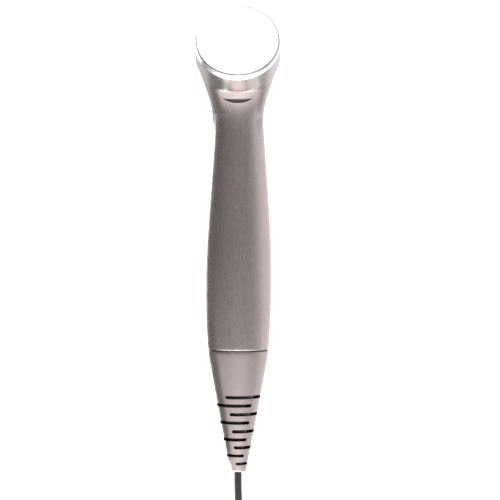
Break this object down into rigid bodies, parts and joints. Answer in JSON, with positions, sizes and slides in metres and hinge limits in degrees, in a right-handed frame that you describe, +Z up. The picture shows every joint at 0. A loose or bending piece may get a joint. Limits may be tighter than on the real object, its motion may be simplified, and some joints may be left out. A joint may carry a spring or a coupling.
{
  "type": "ultrasound therapy applicator",
  "caption": "Handheld ultrasound therapy applicator with a tilted round metal treatment head, a tapered grip, a slotted strain relief and a wound lead ending in a push-pull plug.",
  "frame": {"origin": "middle of the bottom of the applicator, which lies on its back; the lead, its hank and its plug are not counted", "axes": "+Y along the handle toward the head, +Z up, out of the handle's front, +X to the right when looked at from above with the head away from the viewer"},
  "size_m": [0.039, 0.4348, 0.0396],
  "materials": {
    "housing": "satin metallic lacquer",
    "boot": "satin metallic, over a moulded elastomer",
    "cap_metal": "fine turned and bead blasted",
    "collar_metal": "brushed round",
    "seal_rubber": "matt",
    "lens_dark": "smoked",
    "screw_steel": "satin",
    "ceramic_white": "fired ceramic with a silvered face",
    "nylon_natural": "moulded nylon",
    "nylon_black": "moulded nylon",
    "brass_plated": "plated",
    "copper_wire": "enamelled copper",
    "pcb_green": "solder resist",
    "ferrite": "ferrite",
    "chip_black": "epoxy",
    "capacitor_tan": "ceramic",
    "led_clear": "clear epoxy",
    "cable_grey": "satin PVC jacket",
    "wire_red": "wire insulation",
    "wire_white": "wire insulation",
    "tie_fabric": "hook and loop strap",
    "plug_metal": "satin chrome"
  },
  "bodies": {
    "applicator": {"board_capacitors": "capacitor_tan", "board_screws": "screw_steel", "cable": "cable_grey", "cable_clamp": "nylon_black", "cable_conductors": "wire_white", "cable_hank": "cable_grey", "cable_plug_end": "cable_grey", "calibration_chip": "chip_black", "cap_o_ring": "seal_rubber", "clamp_screws": "screw_steel", "collar_ring": "collar_metal", "contact_carrier": "nylon_natural", "contact_spring": "brass_plated", "contact_terminal": "brass_plated", "crimp_sleeve": "brass_plated", "drive_lead": "wire_red", "electrode_tab": "brass_plated", "front_shell": "housing", "ground_lead": "wire_white", "ground_ring": "brass_plated", "hank_tie": "tie_fabric", "head_gasket": "seal_rubber", "indicator_board": "pcb_green", "indicator_leads": "wire_red", "indicator_leds": "led_clear", "indicator_lens": "lens_dark", "inner_cable": "cable_grey", "main_board": "pcb_green", "parting_seal": "seal_rubber", "piezo_disc": "ceramic_white", "piezo_insulator_ring": "nylon_natural", "plug_back_nut": "plug_metal", "plug_body": "plug_metal", "plug_boot": "nylon_black", "plug_cable_end": "cable_grey", "plug_contacts": "brass_plated", "plug_insert": "nylon_natural", "radiating_cap": "cap_metal", "rear_shell": "housing", "retaining_nut": "brass_plated", "sensor_lead": "wire_white", "shell_screws": "screw_steel", "sleeve_spring": "screw_steel", "strain_relief_boot": "boot", "tail_gasket": "seal_rubber", "tail_insert": "nylon_black", "temperature_sensor": "chip_black", "tuning_inductor_core": "ferrite", "tuning_inductor_winding": "copper_wire", "wire_header": "nylon_natural", "wire_plug": "nylon_natural"},
    "release_sleeve": {"release_sleeve": "plug_metal"}
  },
  "joints": [
    {"name": "release_sleeve_slide", "type": "slide", "parent": "applicator", "child": "release_sleeve", "axis": [0, 1, 0], "range_m": [0, 0.002], "stiffness_N_per_m": 1500, "springref_m": -0.001, "deforming": ["sleeve_spring"]}
  ]
}
